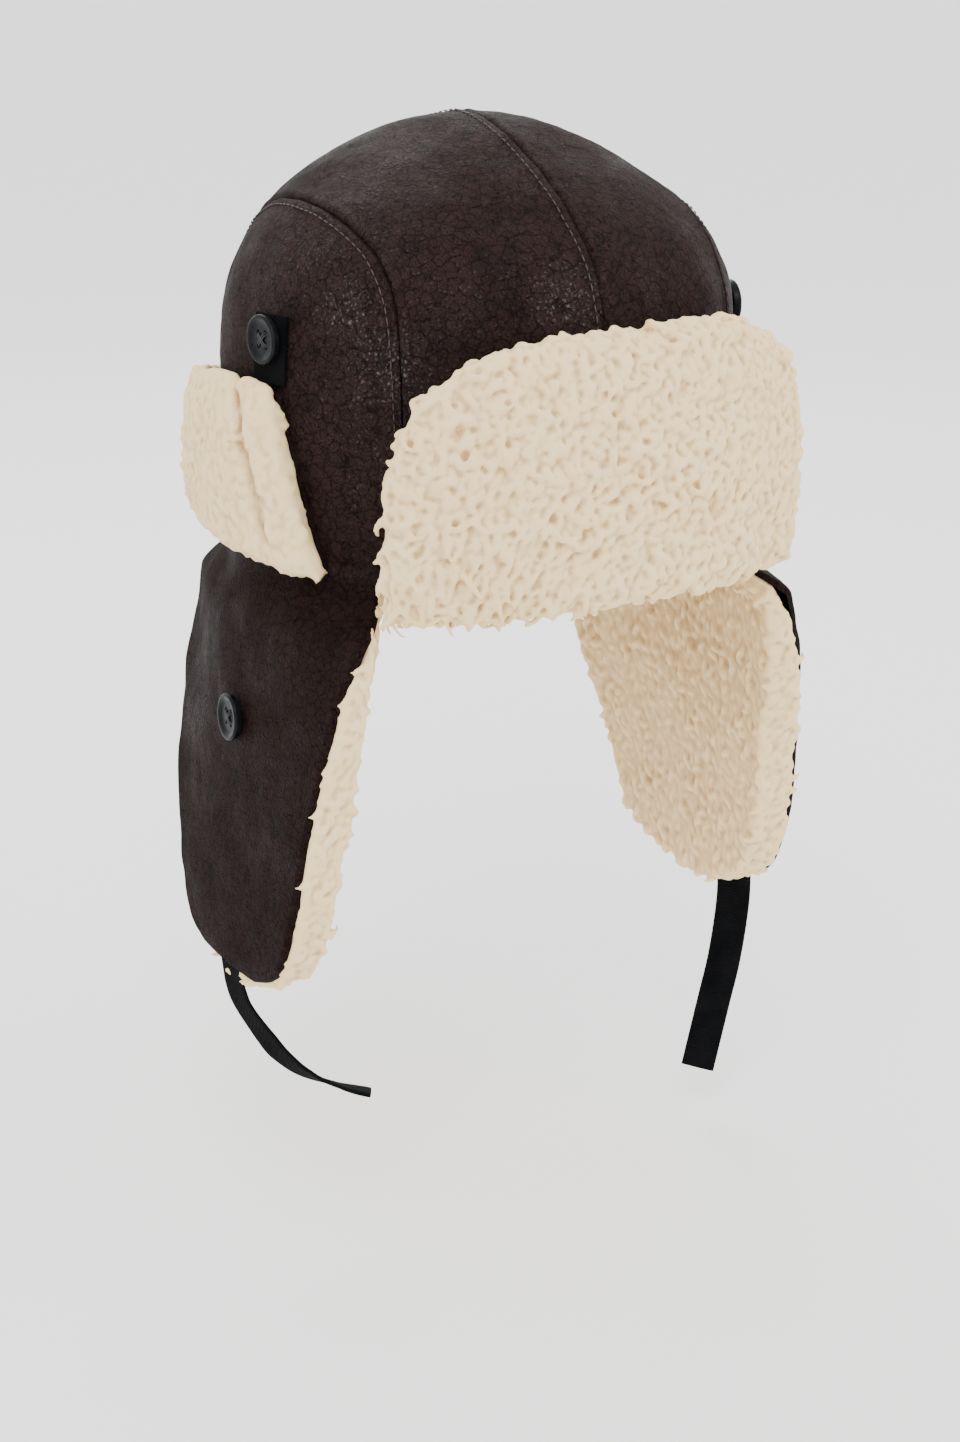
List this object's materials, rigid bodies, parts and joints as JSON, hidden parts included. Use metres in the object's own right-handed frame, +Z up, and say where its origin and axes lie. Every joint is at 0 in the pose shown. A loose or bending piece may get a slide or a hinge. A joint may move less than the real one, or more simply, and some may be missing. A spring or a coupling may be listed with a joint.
{
  "type": "aviator cap",
  "caption": "Brown leather aviator cap with cream fleece flaps turned up at the forehead and nape, hanging fleece-lined ear flaps, short black straps and black buttons.",
  "frame": {"origin": "middle of the head opening, level with the lower edge of the crown", "axes": "+Z up through the crown, -Y towards the forehead, -X towards the wearer's right"},
  "size_m": [0.2451, 0.2363, 0.4202],
  "materials": {
    "crown_leather": "satin",
    "fleece": "matte",
    "webbing": "matte",
    "button": "gloss"
  },
  "bodies": {
    "root": {"crown_top_right": "crown_leather", "crown_top_left": "crown_leather", "crown_side_right": "crown_leather", "crown_side_left": "crown_leather", "crown_lining": "fleece", "front_flap_fleece": "fleece", "front_flap_backing": "crown_leather", "nape_flap_fleece": "fleece", "nape_flap_backing": "crown_leather", "ear_flap_leather_right": "crown_leather", "ear_flap_leather_left": "crown_leather", "ear_flap_fleece_right": "fleece", "ear_flap_fleece_left": "fleece", "chin_strap_right": "webbing", "chin_strap_left": "webbing", "button_tab_right": "webbing", "button_tab_left": "webbing", "button_crown_right": "button", "button_crown_left": "button", "button_ear_right": "button", "button_ear_left": "button"}
  },
  "joints": []
}
